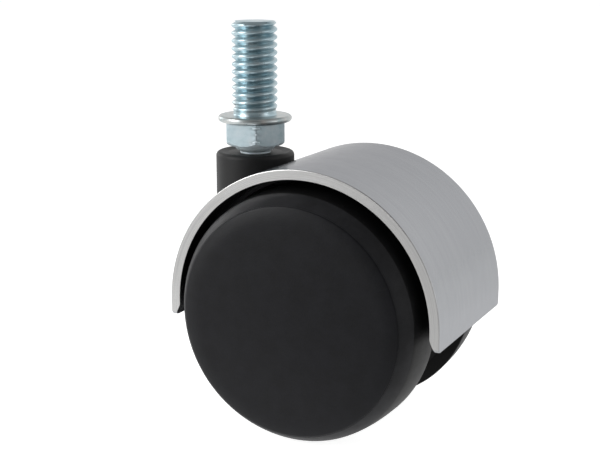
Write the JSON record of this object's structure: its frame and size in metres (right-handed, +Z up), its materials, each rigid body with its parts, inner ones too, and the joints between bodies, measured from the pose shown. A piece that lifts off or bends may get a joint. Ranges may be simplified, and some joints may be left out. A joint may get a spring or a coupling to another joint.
{
  "type": "twin-wheel furniture caster",
  "caption": "Hooded twin-wheel furniture caster on a threaded swivel stem, with two free-rolling wheels on a common axle.",
  "frame": {"origin": "centre of the stem flange's top face, on the swivel axis, where the caster seats against the furniture", "axes": "+Z up the threaded stem, +X from the swivel axis towards the wheel axle, +Y along the wheel axle towards the far wheel"},
  "size_m": [0.0584, 0.0482, 0.0815],
  "materials": {
    "zinc_plated_steel": "bright zinc plate with a pale blue passivation",
    "spring_steel": "dark phosphated spring steel",
    "bright_steel": "bright drawn steel",
    "satin_chrome": "satin chrome plate, brushed on the rim",
    "black_nylon": "fine matte moulded black",
    "wheel_nylon": "moulded black",
    "cap_nylon": "fine grained satin charcoal",
    "tread_polyurethane": "smooth satin charcoal tread",
    "natural_acetal": "natural white"
  },
  "bodies": {
    "stem": {"threaded_stem": "zinc_plated_steel", "stem_snap_ring": "spring_steel"},
    "housing": {"housing": "black_nylon", "hood_cover": "satin_chrome", "stem_bush": "natural_acetal", "thrust_disc": "bright_steel", "axle": "bright_steel", "web_washer_near": "bright_steel", "web_washer_far": "bright_steel", "axle_clip_near": "spring_steel", "axle_clip_far": "spring_steel"},
    "wheel_near": {"wheel_core_near": "wheel_nylon", "wheel_tread_near": "tread_polyurethane", "hub_bush_near": "natural_acetal", "wheel_cap_near": "cap_nylon"},
    "wheel_far": {"wheel_core_far": "wheel_nylon", "wheel_tread_far": "tread_polyurethane", "hub_bush_far": "natural_acetal", "wheel_cap_far": "cap_nylon"}
  },
  "joints": [
    {"name": "swivel", "type": "hinge", "parent": "stem", "child": "housing", "pos_m": [0, 0, 0], "axis": [0, 0, 1], "continuous": true},
    {"name": "near_wheel_spin", "type": "hinge", "parent": "housing", "child": "wheel_near", "pos_m": [0.0191, 0, -0.0365], "axis": [0, 1, 0], "continuous": true},
    {"name": "far_wheel_spin", "type": "hinge", "parent": "housing", "child": "wheel_far", "pos_m": [0.0191, 0, -0.0365], "axis": [0, 1, 0], "continuous": true}
  ]
}
